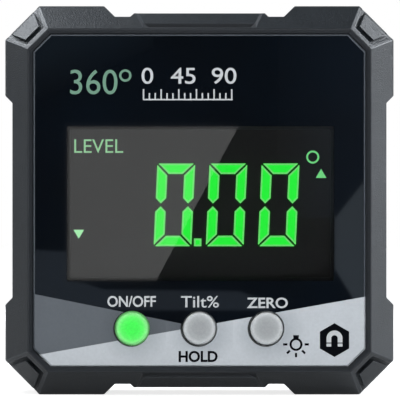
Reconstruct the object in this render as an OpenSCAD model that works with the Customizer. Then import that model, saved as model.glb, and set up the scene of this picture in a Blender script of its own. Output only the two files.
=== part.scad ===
// Digital angle gauge: a square box with armoured corners, a lit display and three keys
// The display faces -Y, the base rests on Z = 0 and X runs across the display

/* [Case] */
// Width across the corner bumpers
case_w = 60; // [59:0.5:80]
// Height across the corner bumpers
case_h = 60; // [58:0.5:80]
// Depth from the rim to the back
case_d = 32; // [30:0.5:44]
// Side wall behind the recesses between the bumpers
wall = 2.2; // [1.8:0.1:2.4]
// Leg of the 45 degree cut at each corner
corner_leg = 5.25; // [4.5:0.25:6.5]
// Inset of the rim from the bumper faces
rim_inset = 3.6; // [3.4:0.1:3.8]
// Depth of the bevel that runs up to the rim
front_bevel_d = 5; // [4:0.25:6]
// Inset of the back face from the bumper faces
back_inset = 2.2; // [1.5:0.1:2.4]
// Depth of the bevel at the back
back_bevel_d = 3; // [2:0.25:4]
// Narrow break along the long edges of the bevels
edge_break = 0.28; // [0.1:0.02:0.5]
// Gasket thickness at the parting line
seal_t = 0.4; // [0.3:0.05:0.8]

/* [Bumpers] */
// How far the bumpers stand proud of the sides
bumper_step = 1.15; // [0.8:0.05:1.3]
// Length of a bumper face along the left and right sides
side_bumper = 13.85; // [11:0.05:16]
// Length of a bumper face along the top and base
base_bumper = 15.27; // [14:0.05:16]
// Depth of the notches beside the middle lands, from the bumper face
notch_depth = 1.7; // [1.4:0.05:1.9]
// Width of the middle land on the top and base
land_w = 20.2; // [16:0.1:22]
// Distance from the corner of a land to the end of its sunk facet
land_inset = 0.35; // [0.2:0.05:1]
// Lean of the end faces of the sunk facet along the bevel, in degrees
land_lean = 15; // [5:1:25]
// Flare of those end faces away from the sunk face, in degrees
land_flare = 58; // [30:1:65]
// Depth of the sunk facet on a land's bevel
land_sink = 0.55; // [0.2:0.05:0.6]
// Width of the raised frame on a corner facet
armour_frame = 0.62; // [0.4:0.02:0.8]
// Width of the groove on a corner facet
armour_groove = 0.66; // [0.4:0.02:0.8]
// Depth of the groove on a corner facet
armour_depth = 0.75; // [0.3:0.05:0.9]

/* [Panel] */
// Depth of the panel face below the rim
panel_recess = 0.8; // [0.6:0.05:1.2]
// Thickness of the printed panel
panel_t = 1.1; // [0.8:0.1:1.5]
// Chamfer around the panel's front edge
panel_chamfer = 0.25; // [0.1:0.05:0.4]
// Width of the sloped band between the rim and the panel
rim_band = 0.75; // [0.6:0.05:1]
// Thickness of the case face behind the panel
face_wall = 1.2; // [1:0.1:1.6]

/* [Display] */
// Width of the display window
window_w = 41.1; // [38:0.1:42]
// Height of the display window
window_h = 23.8; // [21:0.1:25]
// Window centre, right of the middle of the case
window_x = 0.15; // [-0.5:0.05:0.5]
// Window centre, above the middle of the case
window_v = -0.5; // [-1:0.05:0]
// Corner radius of the window
window_r = 0.3; // [0.2:0.05:0.6]
// Ledge that carries the clear window pane
window_ledge = 0.5; // [0.4:0.05:0.8]
// Thickness of the display glass
glass_t = 2.2; // [1.8:0.1:2.6]
// Thickness of the light guide
guide_t = 2.5; // [2:0.1:3]
// Height of a digit
digit_h = 12.76; // [10:0.02:14]
// Width of a digit
digit_w = 5.84; // [5:0.02:6.4]
// Distance from digit to digit
digit_pitch = 8.04; // [7.6:0.02:8.2]
// Stroke of a digit's segments
digit_stroke = 1.63; // [1.2:0.01:1.8]
// Lean of the digits in degrees
digit_slant = 2.6; // [0:0.1:6]

/* [Keys] */
// Diameter of a key cap
key_dia = 5; // [4.4:0.1:5.4]
// Distance from key to key
key_pitch = 10.34; // [9.6:0.02:11]
// Height of the keys, below the middle of the case
key_v = -19.7; // [-20.2:0.1:-19.2]
// How far a key stands out of the panel
key_proud = 0.7; // [0.4:0.05:0.75]
// Travel of a key
key_travel = 0.5; // [0.3:0.05:0.7]
// Radial gap around a key cap
key_gap = 0.2; // [0.15:0.05:0.3]

/* [Battery] */
// Diameter of a cell
cell_dia = 10.5; // [10:0.1:10.7]
// Length of a cell over its contact nub
cell_len = 44.5; // [43:0.1:45]
// Distance between the two cells
cell_pitch = 11.6; // [11.2:0.1:12]
// Thickness of the battery door
door_t = 1.8; // [1.5:0.1:2.2]
// Thickness of the door seal
door_seal_t = 0.6; // [0.4:0.1:0.8]
// Gap around the door
door_gap = 0.25; // [0.2:0.05:0.35]
// Radius of the hinge barrels
barrel_r = 1.1; // [1:0.05:1.2]
// Diameter of the hinge pins
pin_dia = 1; // [0.8:0.05:1.1]

/* [Base] */
// Diameter of a base magnet
magnet_dia = 7; // [5:0.1:8]
// Thickness of a base magnet
magnet_t = 2.4; // [1.5:0.1:2.6]

/* [Hidden] */
$fn = 64;
far = 2 * (case_w + case_h + case_d);

// Outer case
half_w = case_w / 2;
half_h = case_h / 2;
front_y = -case_d / 2;
back_y = case_d / 2;
core_w = half_w - bumper_step;
core_h = half_h - bumper_step;
cavity_w = core_w - wall;
cavity_h = core_h - wall;
corner_r = (half_w + half_h - corner_leg) / sqrt(2);
cavity_leg = cavity_w + cavity_h - (corner_r - wall) * sqrt(2);
seal_inset = 0.35;
case_stations = [
    [front_y, rim_inset],
    [front_y + front_bevel_d * (1 - edge_break / rim_inset), edge_break],
    [front_y + front_bevel_d + 2 * edge_break, 0],
    [back_y - back_bevel_d - 2 * edge_break, 0],
    [back_y - back_bevel_d * (1 - edge_break / back_inset), edge_break],
    [back_y, back_inset]];

// Front stack, from the panel back to the board
seat_gap = 0.1;
panel_front = front_y + panel_recess;
panel_back = panel_front + panel_t;
wall_back = panel_back + face_wall;
glass_front = wall_back + seat_gap;
glass_back = glass_front + glass_t;
guide_back = glass_back + guide_t;
led_t = 1;
led_w = 2.8;
led_h = 3.5;
board_front = guide_back + led_t + seat_gap;
board_t = 1.6;
board_back = board_front + board_t;

// Rim pocket and panel outline
crest_w = 0.2;
land_step = 0.85;
pocket_inset = rim_inset + rim_band;
panel_gap = 0.12;
panel_inset = pocket_inset + panel_gap;

// Display
pane_gap = 0.05;
view_w = window_w - 2 * window_ledge;
view_h = window_h - 2 * window_ledge;
glass_side = 1.6;
glass_ledge = 3.2;
glass_w = view_w + 2 * glass_side;
glass_low = window_v - view_h / 2 - glass_side;
glass_high = window_v + view_h / 2 + glass_side + glass_ledge;
frame_wall = 1.4;
frame_gap = 0.2;
frame_lip = 1.2;
strip_w = 2;
ink_t = 0.12;
digit_v = -0.7;
digit_mid_x = 4.18;
point_w = 1.15;
point_h = 1.2;
point_shift = -0.43;
ring_place = [17.47, 6.67];
ring_r = 1;
ring_stroke = 0.28;
up_place = [18.75, 4.15];
down_place = [-18.6, -5.23];
arrow_w = 1.65;
arrow_h = 1.4;

// Battery bay and door
cell_gap = 0.2;
bay_wall = 1.3;
contact_t = 0.4;
spring_len = 4;
nub_bump = 0.3;
bump_r = 1.6;
plate_w = 8;
coil_base_r = 3.6;
coil_tip_r = 2.4;
coil_wire = 0.6;
nub_r = 1.9;
nub_h = 1;
cell_edge = 0.4;
cell_r = cell_dia / 2;
door_in = back_y - door_t;
cell_y = door_in - cell_gap - cell_r;
bay_floor = cell_y - cell_r - cell_gap;
split_y = bay_floor - bay_wall;
bay_half_w = (cell_len + spring_len + nub_bump + 2 * contact_t) / 2;
bay_half_h = cell_pitch / 2 + cell_r + cell_gap;
ledge_side = 0.9;
ledge_end = 1.3;
door_half_w = bay_half_w + ledge_side;
door_half_h = bay_half_h + ledge_end;
seat_y = door_in - door_seal_t;
hinge_y = back_y - barrel_r;
hinge_relief = 0.5;
hinge_drop = barrel_r + hinge_relief;
hinge_v = -door_half_h - hinge_drop;
hinge_x = 15;
barrel_len = 6;
barrel_side_gap = 0.25;
pin_fit = 0.06;
pin_hold = 0.02;
pin_play = 0.2;
pin_end = 1.5;
pin_len = barrel_len + 2 * barrel_side_gap + 2 * pin_end - pin_play;
scoop_r = 5;
grip_count = 4;
grip_pitch = 1.6;
grip_depth = 0.4;
grip_w = 12;
grip_start = 3;
back_wall = 1.8;
hinge_block = hinge_drop + barrel_r + 1.5;

// Keys and switches
key_x = [-key_pitch, 0, key_pitch];
key_r = key_dia / 2;
key_face = panel_front - key_proud;
key_flange_w = 0.8;
key_flange_r = key_r + key_flange_w;
key_flange_t = 0.8;
key_stem = 0.4;
key_round = 0.4;
key_stem_r = 1.5;
key_back = wall_back + seat_gap + key_flange_t + key_stem;
switch_top = key_back + key_travel + seat_gap;
switch_w = 6;
plunger_r = 1.6;
plunger_h = 0.6;

// Parts on the board
sensor_w = 5;
sensor_t = 1.1;
sensor_v = 4;
chip_w = 9;
chip_t = 1.6;
chip_v = -9;
lead_w = 0.5;
lead_t = 0.5;
lead_pitch = 1.15;
lead_reach = 1;
leg_w = 0.7;
leg_t = 0.4;
leg_reach = 0.8;

// Screws and posts
boss_r = 2.7;
boss_in = 7.4;
boss_x = half_w - boss_in;
boss_v = half_h - boss_in;
screw_r = 1.2;
screw_head_r = 2.2;
screw_head_t = 1.6;
screw_sink = 0.5;
screw_gap = 0.1;
screw_floor = 0.6;
screw_play = 1;
screw_end = wall_back + screw_floor;
screw_tip = screw_end + screw_play;
recess_w = 0.8;
recess_len = 2.6;
recess_d = 0.9;
post_r = 2.1;
board_screw_r = 0.85;
board_head_r = 1.8;
board_head_t = 1.1;
post_bore = 5;
board_play = 0.5;
board_bore = board_front - post_bore;
board_tip = board_bore + board_play;
post_places = [[-17, -19], [17, -19], [-16, 20], [16, 20]];
board_half_w = 24;
board_half_h = 23.2;
board_leg = 7;

// Base magnets
magnet_r = magnet_dia / 2;
magnet_sink = 0.15;
magnet_gap = 0.08;
magnet_x = half_w - (corner_leg + base_bumper) / 2;
magnet_y = [(front_y + front_bevel_d + split_y) / 2, (back_y - back_bevel_d + split_y) / 2];

// Carries a drawing of the front view into depth, from y0 back to y1
module along_y(y0, y1) {
    translate([0, y1, half_h]) rotate([90, 0, 0]) linear_extrude(height = y1 - y0) children();
}

// Outline in (across, depth) whose sides step in by the stations' insets
function slab_profile(half, stations) = concat(
    [for (s = stations) [half - s[1], s[0]]],
    [for (i = [len(stations) - 1 : -1 : 0]) [stations[i][1] - half, stations[i][0]]]);

// Long bar whose two faces lean by the stations, turned about the depth axis
module leaning_slab(half, stations, turn) {
    translate([0, 0, half_h]) rotate([0, turn, 0])
        linear_extrude(height = far, center = true) polygon(slab_profile(half, stations));
}

// Eight-sided block along the depth, square with cut corners, with leaning faces
module octagon_block(w, h, leg, stations) {
    diagonal = (w + h - leg) / sqrt(2);
    intersection() {
        leaning_slab(w, stations, 0);
        leaning_slab(h, stations, 90);
        leaning_slab(diagonal, stations, 45);
        leaning_slab(diagonal, stations, -45);
    }
}

// Square with cut corners
function octagon(w, h, leg) = [
    [w, leg - h], [w, h - leg], [w - leg, h], [leg - w, h],
    [-w, h - leg], [-w, leg - h], [leg - w, -h], [w - leg, -h]];

// Rectangle with round corners about the origin
module round_rect(w, h, r) {
    square([w - 2 * r, h], center = true);
    square([w, h - 2 * r], center = true);
    for (x = [-1, 1], v = [-1, 1])
        translate([x * (w / 2 - r), v * (h / 2 - r)]) circle(r);
}

// One quarter of the cuts between the bumpers, from the right side up to the top land
// The bumpers run past the case, so that the bevelled block alone gives their faces
past = 1;
outline_quarter = [
    [core_w, half_h - side_bumper - bumper_step],
    [half_w + past, half_h - side_bumper + past],
    [half_w + past, half_h + past],
    [half_w - base_bumper + past, half_h + past],
    [half_w - base_bumper - notch_depth, half_h - notch_depth],
    [land_w / 2 + notch_depth - bumper_step, half_h - notch_depth],
    [land_w / 2, core_h]];

function reversed(points) = [for (i = [len(points) - 1 : -1 : 0]) points[i]];
function flipped(points, x, v) = [for (p = points) [p[0] * x, p[1] * v]];

case_outline = concat(
    outline_quarter,
    reversed(flipped(outline_quarter, -1, 1)),
    flipped(outline_quarter, -1, -1),
    reversed(flipped(outline_quarter, 1, -1)));

// Bevelled block with bumpers, recesses and notches, from front to back
module case_form() {
    intersection() {
        octagon_block(half_w, half_h, corner_leg, case_stations);
        along_y(front_y - 1, back_y + 1) polygon(case_outline);
    }
}

// Half-width of a corner facet at a distance from the middle of the case
facet_out = corner_leg / sqrt(2);
rim_leg = half_w + half_h - 2 * rim_inset - (corner_r - rim_inset) * sqrt(2);
facet_in = rim_leg / sqrt(2);
function facet_half(r) = facet_in + (facet_out - facet_in) * (r - corner_r + rim_inset) / rim_inset;
function facet_shape(inset) = let (
    low = corner_r - rim_inset + inset,
    high = corner_r + 1)
    [[low, facet_half(low) - inset], [high, facet_half(high) - inset],
     [high, inset - facet_half(high)], [low, inset - facet_half(low)]];

// Groove that frames the raised pad on each corner facet
module armour_grooves() {
    slope = [rim_inset, front_bevel_d] / norm([rim_inset, front_bevel_d]);
    normal = [slope[1], -slope[0]];
    start = [corner_r - rim_inset, front_y];
    run = rim_inset + front_bevel_d;
    for (turn = [45 : 90 : 315])
        translate([0, 0, half_h]) rotate([0, turn, 0]) intersection() {
            rotate([90, 0, 0]) linear_extrude(height = far, center = true) difference() {
                polygon(facet_shape(armour_frame));
                polygon(facet_shape(armour_frame + armour_groove));
            }
            linear_extrude(height = 2 * corner_leg, center = true) polygon([
                start + normal, start + slope * run + normal,
                start + slope * run - normal * armour_depth, start - normal * armour_depth]);
        }
}

// Sunk facets with leaning, flared ends, on the bevel over the top and base lands
module land_facets() {
    rise = front_bevel_d / rim_inset;
    bend = rim_inset - land_step;
    crest = rim_inset - crest_w;
    function bevel_y(inset) = front_y + front_bevel_d - inset * rise;
    for (turn = [0, 180])
        translate([0, 0, half_h]) rotate([0, turn, 0]) intersection() {
            rotate([0, -90, 0]) linear_extrude(height = far, center = true) polygon([
                [half_h, front_y - 1], [half_h, bevel_y(0) + land_sink],
                [half_h - bend, bevel_y(bend) + land_sink],
                [half_h - crest, bevel_y(bend) + land_sink], [half_h - crest, front_y - 1]]);
            intersection_for (side = [0, 1])
                mirror([side, 0, 0])
                    translate([land_w / 2 - land_inset, bevel_y(bumper_step), core_h])
                        rotate([-atan(rise), 0, 0]) rotate([0, land_lean, 0]) rotate([0, 0, land_flare])
                            translate([-far, -far / 2, -far / 2]) cube(far);
        }
}

// Bores for the base magnets
module magnet_pockets() {
    for (x = [-1, 1], y = magnet_y)
        translate([x * magnet_x, y, -1])
            cylinder(r = magnet_r + magnet_gap, h = 1 + magnet_sink + magnet_t + magnet_gap);
}

// Places a shape at each case screw
module at_case_screws() {
    for (x = [-1, 1], v = [-1, 1])
        translate([x * boss_x, v * boss_v]) children();
}

module at_posts() {
    for (p = post_places) translate(p) children();
}

module at_keys() {
    for (x = key_x) translate([x, key_v]) children();
}

// Front shell: bevelled rim, armoured corners, panel seat, display opening and screw bosses
module front_case() {
    color("#3c4043") difference() {
        union() {
            difference() {
                intersection() {
                    case_form();
                    along_y(front_y - 1, split_y - seal_t) square(far, center = true);
                }
                along_y(wall_back, back_y) polygon(octagon(cavity_w, cavity_h, cavity_leg));
            }
            along_y(wall_back - face_wall / 2, split_y - seal_t) at_case_screws() circle(boss_r);
            along_y(wall_back - face_wall / 2, board_front) at_posts() circle(post_r);
        }
        octagon_block(half_w, half_h, corner_leg, [
            [front_y - 1, rim_inset + crest_w],
            [front_y, rim_inset + crest_w],
            [front_y + rim_band - crest_w, pocket_inset],
            [panel_back, pocket_inset]]);
        along_y(panel_front, wall_back + 1) translate([window_x, window_v])
            round_rect(view_w, view_h, window_r);
        along_y(panel_front, wall_back + 1) at_keys() circle(key_r + key_gap);
        along_y(screw_end, back_y) at_case_screws() circle(screw_r + pin_fit);
        along_y(board_bore, board_front + 1) at_posts() circle(board_screw_r + pin_fit);
        armour_grooves();
        land_facets();
        magnet_pockets();
    }
}

// Back shell: battery bay, door seat, hinge notches and screw columns
module rear_case() {
    color("#3a3e41") difference() {
        intersection() {
            case_form();
            along_y(split_y, back_y + 1) square(far, center = true);
        }
        // Hollows above and below the bay, with columns left for the screws
        along_y(split_y - 1, back_y - back_wall) difference() {
            polygon(octagon(cavity_w, cavity_h, cavity_leg));
            translate([-far / 2, -door_half_h - hinge_block])
                square([far, 2 * door_half_h + hinge_block + bay_wall]);
            at_case_screws() circle(boss_r);
        }
        // Bay with a low rib between the cells
        difference() {
            along_y(bay_floor, back_y + 1) square([2 * bay_half_w, 2 * bay_half_h], center = true);
            along_y(bay_floor - 1, cell_y - cell_r / 2)
                square([2 * bay_half_w + 1, (cell_pitch - cell_dia) * 0.6], center = true);
        }
        // Seat for the door and its seal
        along_y(seat_y, back_y + 1)
            square([2 * (door_half_w + door_gap), 2 * (door_half_h + door_gap)], center = true);
        // Relief that lets the door's lower edge swing past
        translate([0, back_y, half_h - door_half_h - door_gap]) rotate([45, 0, 0])
            cube([2 * door_half_w, hinge_relief * sqrt(2), hinge_relief * sqrt(2)], center = true);
        // Finger scoop above the door
        along_y(back_y - door_t / 2, back_y + 1) translate([0, door_half_h]) circle(scoop_r);
        // Hinge notches and pin bores
        for (x = [-1, 1]) {
            translate([x * hinge_x - barrel_len / 2 - barrel_side_gap, seat_y,
                       half_h + hinge_v - barrel_r - door_gap])
                cube([barrel_len + 2 * barrel_side_gap, door_t + 2, hinge_drop + barrel_r + door_gap]);
            translate([x * hinge_x, hinge_y, half_h + hinge_v]) rotate([0, 90, 0])
                cylinder(d = pin_dia + pin_hold, h = pin_len + pin_play, center = true);
        }
        along_y(split_y - 1, back_y + 1) at_case_screws() circle(screw_r + screw_gap);
        along_y(back_y - screw_sink - screw_head_t, back_y + 1)
            at_case_screws() circle(screw_head_r + screw_gap);
        magnet_pockets();
    }
}

// Gasket ring between the two shells, a little inside their outline
module case_seal() {
    color("#1b1c1d") along_y(split_y - seal_t, split_y) difference() {
        intersection() {
            polygon(octagon(half_w - seal_inset, half_h - seal_inset, corner_leg));
            scale(1 - seal_inset / half_w) polygon(case_outline);
        }
        polygon(octagon(cavity_w, cavity_h, cavity_leg));
    }
}

// Printed sheet with a chamfered edge, open for the display window and the keys
module front_panel() {
    color("#14171c") difference() {
        octagon_block(half_w, half_h, corner_leg, [
            [panel_front, panel_inset + panel_chamfer],
            [panel_front + panel_chamfer, panel_inset],
            [panel_back, panel_inset]]);
        along_y(panel_front - 1, panel_back + 1) translate([window_x, window_v])
            round_rect(window_w, window_h, window_r);
        along_y(panel_front - 1, panel_back + 1) at_keys() circle(key_r + key_gap);
    }
}

// Clear pane that fills the panel's display opening
module display_window() {
    color("#2b2e31", 0.5) along_y(panel_front + pane_gap, panel_back) translate([window_x, window_v])
        round_rect(window_w - 2 * pane_gap, window_h - 2 * pane_gap, window_r);
}

// Display cell, with a contact ledge along its top
module lcd_glass() {
    color("#1a1d20") along_y(glass_front, glass_back)
        translate([window_x - glass_w / 2, glass_low]) square([glass_w, glass_high - glass_low]);
}

// Leans a digit's points to the right with height
function leaned(points) = [for (p = points) [p[0] + p[1] * tan(digit_slant), p[1]]];

segment_gap = 0.42;
digit_cut = 0.3;
half_dw = digit_w / 2;
half_dh = digit_h / 2;
top_segment = [
    [digit_cut - half_dw, half_dh],
    [half_dw - digit_cut, half_dh],
    [half_dw - digit_cut / 2 - segment_gap / 4, half_dh - digit_cut / 2 + segment_gap / 4],
    [half_dw - digit_stroke - segment_gap / 2, half_dh - digit_stroke],
    [digit_stroke + segment_gap / 2 - half_dw, half_dh - digit_stroke],
    [digit_cut / 2 + segment_gap / 4 - half_dw, half_dh - digit_cut / 2 + segment_gap / 4]];
side_segment = [
    [half_dw - digit_cut / 2 + segment_gap / 4, half_dh - digit_cut / 2 - segment_gap / 4],
    [half_dw, half_dh - digit_cut],
    [half_dw, digit_stroke / 2 + segment_gap / 2],
    [half_dw - digit_stroke / 2, segment_gap / 2],
    [half_dw - digit_stroke, digit_stroke / 2 + segment_gap / 2],
    [half_dw - digit_stroke, half_dh - digit_stroke - segment_gap / 2]];

// The six outer segments of a figure nought
module nought() {
    for (v = [-1, 1]) {
        polygon(leaned(flipped(top_segment, 1, v)));
        for (x = [-1, 1]) polygon(leaned(flipped(side_segment, x, v)));
    }
}

// Level arrow that points up, about its own middle
module arrow() {
    polygon([[-arrow_w / 2, -arrow_h / 2], [arrow_w / 2, -arrow_h / 2], [0, arrow_h / 2]]);
}

// Lit figures, decimal point, degree ring and level arrows on the front of the glass
module lcd_segments() {
    color("#4bff5f") along_y(glass_front - ink_t, glass_front) {
        for (i = [-1, 0, 1])
            translate([digit_mid_x + i * digit_pitch, digit_v]) nought();
        translate([digit_mid_x - digit_pitch / 2 + point_shift, digit_v - half_dh + point_h / 2])
            square([point_w, point_h], center = true);
        translate(ring_place) difference() {
            circle(ring_r);
            circle(ring_r - ring_stroke);
        }
        translate(up_place) arrow();
        translate(down_place) mirror([0, 1]) arrow();
    }
}

// Clear block that spreads the backlight behind the glass
module light_guide() {
    guide_h = glass_high - glass_low - glass_ledge;
    color("#dfe6e2") along_y(glass_back, guide_back)
        translate([window_x - glass_w / 2, glass_low]) square([glass_w, guide_h]);
}

// Frame around the glass and the light guide, standing on the board
module lcd_frame() {
    low = glass_low - frame_gap;
    high = glass_high + frame_gap;
    inner_w = glass_w + 2 * frame_gap;
    color("#e3e4e2") difference() {
        along_y(glass_front, board_front) translate([window_x - inner_w / 2 - frame_wall, low - frame_wall])
            square([inner_w + 2 * frame_wall, high - low + 2 * frame_wall]);
        along_y(glass_front - 1, guide_back) translate([window_x - inner_w / 2, low])
            square([inner_w, high - low]);
        along_y(glass_front, board_front + 1) translate([window_x - inner_w / 2 + frame_lip, low + frame_lip])
            square([inner_w - 2 * frame_lip, high - low - frame_lip]);
    }
}

// Elastic strip that joins the glass ledge to the board
module lcd_connector() {
    color("#6b7a86") along_y(glass_back, board_front)
        translate([window_x - glass_w / 2 + frame_lip, glass_high - strip_w - frame_gap])
            square([glass_w - 2 * frame_lip, strip_w]);
}

// Circuit board, with cut corners that clear the case bosses
module main_board() {
    color("#1f6b45") along_y(board_front, board_back) difference() {
        polygon(octagon(board_half_w, board_half_h, board_leg));
        at_posts() circle(board_screw_r + 2 * screw_gap);
    }
}

// Row of lamps on the board behind the light guide
module backlight_leds() {
    count = 4;
    pitch = view_w / count;
    color("#f2e9c0") along_y(board_front - led_t, board_front)
        for (i = [0 : count - 1])
            translate([window_x + (i - (count - 1) / 2) * pitch, window_v])
                square([led_w, led_h], center = true);
}

// Square sensor package on the back of the board
module tilt_sensor() {
    color("#26282a") along_y(board_back, board_back + sensor_t)
        translate([0, sensor_v]) square(sensor_w, center = true);
}

// Controller with a row of leads along each side
module controller_chip() {
    color("#1d1f21") {
        along_y(board_back + lead_t / 2, board_back + chip_t)
            translate([0, chip_v]) square(chip_w, center = true);
        for (turn = [0 : 90 : 270], i = [-3 : 3])
            along_y(board_back, board_back + lead_t) translate([0, chip_v]) rotate(turn)
                translate([chip_w / 2, i * lead_pitch]) square([2 * lead_reach, lead_w], center = true);
    }
}

// Three snap switches, each with a plunger and four legs
module key_switches() {
    color("#c9ccce") {
        along_y(switch_top + plunger_h, board_front) at_keys() square(switch_w, center = true);
        along_y(switch_top, board_front) at_keys() circle(plunger_r);
        along_y(board_front - leg_t, board_front) at_keys()
            for (v = [-1, 1])
                translate([0, v * switch_w / 4]) square([switch_w + 2 * leg_reach, leg_w], center = true);
    }
}

// Key: a cap with a rounded edge, a flange behind the case face and a short stem
module key(index) {
    edge = [for (a = [0 : 15 : 90])
        [key_r - key_round + key_round * sin(a), key_face + key_round * (1 - cos(a))]];
    flange_y = wall_back + seat_gap;
    translate([key_x[index], 0, half_h + key_v]) rotate([-90, 0, 0]) rotate_extrude() polygon(concat(
        [[0, key_face]],
        edge,
        [[key_r, flange_y], [key_flange_r, flange_y], [key_flange_r, flange_y + key_flange_t],
         [key_stem_r, flange_y + key_flange_t], [key_stem_r, key_back], [0, key_back]]));
}

module power_button() {
    color("#3fe05a") key(0);
}

module hold_button() {
    color("#bfc2c4") key(1);
}

module zero_button() {
    color("#bfc2c4") key(2);
}

// Round cell along X with a contact nub, its nub pointing to +X or -X
module cell(side) {
    rim = cell_edge;
    base_x = -bay_half_w + contact_t + spring_len;
    translate([0, cell_y, half_h + side * cell_pitch / 2]) rotate([0, side * 90, 0]) translate([0, 0, base_x])
        rotate_extrude() polygon([
            [0, 0], [cell_r - rim, 0], [cell_r, rim], [cell_r, cell_len - nub_h - rim],
            [cell_r - rim, cell_len - nub_h], [nub_r, cell_len - nub_h], [nub_r, cell_len], [0, cell_len]]);
}

module upper_cell() {
    color("#3b4046") cell(1);
}

module lower_cell() {
    color("#3b4046") cell(-1);
}

// Contact plate against an end wall of the bay
module end_plate(side, x0, x1) {
    translate([x0, cell_y - plate_w / 2, half_h + side * cell_pitch / 2 - plate_w / 2])
        cube([x1 - x0, plate_w, plate_w]);
}

// Coil of round wire that narrows from its base to its tip, along Z
module coil(base_r, tip_r, height, turns, wire) {
    sides = 8;
    steps = 14 * turns;
    function centre(i) = let (f = i / steps, a = 360 * turns * f, r = base_r + (tip_r - base_r) * f)
        [r * cos(a), r * sin(a), wire / 2 + (height - wire) * f];
    points = [for (i = [0 : steps]) let (c = centre(i), a = 360 * turns * i / steps)
        for (j = [0 : sides - 1]) let (b = 360 * j / sides)
            c + wire / 2 * [cos(b) * cos(a), cos(b) * sin(a), sin(b)]];
    walls = [for (i = [0 : steps - 1], j = [0 : sides - 1]) let (k = (j + 1) % sides)
        [i * sides + k, (i + 1) * sides + k, (i + 1) * sides + j, i * sides + j]];
    ends = [[for (j = [sides - 1 : -1 : 0]) j], [for (j = [0 : sides - 1]) steps * sides + j]];
    polyhedron(points, concat(walls, ends));
}

// Coil contacts that press on the flat end of each cell
module spring_contacts() {
    color("#c8c9c6") for (side = [-1, 1]) {
        end_plate(side, side > 0 ? -bay_half_w : bay_half_w - contact_t,
                  side > 0 ? contact_t - bay_half_w : bay_half_w);
        translate([side * (contact_t - coil_wire / 2 - bay_half_w), cell_y, half_h + side * cell_pitch / 2])
            rotate([0, side * 90, 0])
                coil(coil_base_r, coil_tip_r, spring_len + coil_wire / 2, 3, coil_wire);
    }
}

// Plate contacts with a raised bump that meets each cell's nub
module plate_contacts() {
    color("#c8c9c6") for (side = [-1, 1]) {
        end_plate(side, side > 0 ? bay_half_w - contact_t : -bay_half_w,
                  side > 0 ? bay_half_w : contact_t - bay_half_w);
        translate([side * (bay_half_w - contact_t - nub_bump), cell_y, half_h + side * cell_pitch / 2])
            rotate([0, side * 90, 0]) cylinder(r = bump_r, h = nub_bump + contact_t / 2);
    }
}

// Door over the battery bay, with grip grooves and two hinge barrels
module battery_door() {
    color("#393d40") difference() {
        union() {
            along_y(door_in, back_y) square([2 * door_half_w, 2 * door_half_h], center = true);
            for (x = [-1, 1]) {
                translate([x * hinge_x, hinge_y, half_h + hinge_v]) rotate([0, 90, 0])
                    cylinder(r = barrel_r, h = barrel_len, center = true);
                translate([x * hinge_x - barrel_len / 2, door_in, half_h + hinge_v])
                    cube([barrel_len, door_t, hinge_drop + 1]);
            }
        }
        for (x = [-1, 1])
            translate([x * hinge_x, hinge_y, half_h + hinge_v]) rotate([0, 90, 0])
                cylinder(r = pin_dia / 2 + pin_fit, h = barrel_len + 1, center = true);
        for (i = [0 : grip_count - 1])
            along_y(back_y - grip_depth, back_y + 1)
                translate([0, door_half_h - grip_start - i * grip_pitch])
                    square([grip_w, grip_pitch / 2], center = true);
    }
}

// Soft frame on the ledge under the door
module door_seal() {
    seal_gap = 0.1;
    color("#1b1c1d") along_y(seat_y, door_in - seal_gap) difference() {
        square([2 * door_half_w, 2 * door_half_h], center = true);
        square([2 * bay_half_w + seal_gap, 2 * bay_half_h + seal_gap], center = true);
    }
}

// Two steel pins through the door's barrels, held in the case
module hinge_pins() {
    color("#b8bbbd") for (x = [-1, 1])
        translate([x * hinge_x, hinge_y, half_h + hinge_v]) rotate([0, 90, 0])
            cylinder(d = pin_dia, h = pin_len, center = true);
}

// Disc magnets sunk in the feet
module base_magnets() {
    edge = 0.3;
    color("#c4c6c8") for (x = [-1, 1], y = magnet_y)
        translate([x * magnet_x, y, magnet_sink]) rotate_extrude() polygon([
            [0, 0], [magnet_r - edge, 0], [magnet_r, edge], [magnet_r, magnet_t], [0, magnet_t]]);
}

// Long screws from the back, with a cross recess
module case_screws() {
    head_y = back_y - screw_sink;
    color("#8d9194") difference() {
        union() {
            along_y(head_y - screw_head_t, head_y) at_case_screws() circle(screw_head_r);
            along_y(screw_tip, head_y - screw_head_t / 2) at_case_screws() circle(screw_r);
        }
        along_y(head_y - recess_d, head_y + 1) at_case_screws() {
            square([recess_len, recess_w], center = true);
            square([recess_w, recess_len], center = true);
        }
    }
}

// Short screws that hold the board on the posts
module board_screws() {
    color("#8d9194") {
        along_y(board_back, board_back + board_head_t) at_posts() circle(board_head_r);
        along_y(board_tip, board_back + board_head_t / 2) at_posts() circle(board_screw_r);
    }
}

front_case();
rear_case();
case_seal();
front_panel();
display_window();
lcd_glass();
lcd_segments();
light_guide();
lcd_frame();
lcd_connector();
main_board();
backlight_leds();
tilt_sensor();
controller_chip();
key_switches();
power_button();
hold_button();
zero_button();
upper_cell();
lower_cell();
spring_contacts();
plate_contacts();
battery_door();
door_seal();
hinge_pins();
base_magnets();
case_screws();
board_screws();
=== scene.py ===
"""Dresses the digital angle gauge: finishes, print, lettering, studio light and camera."""
import math

import bmesh
import bpy
from mathutils import Matrix, Vector


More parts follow.
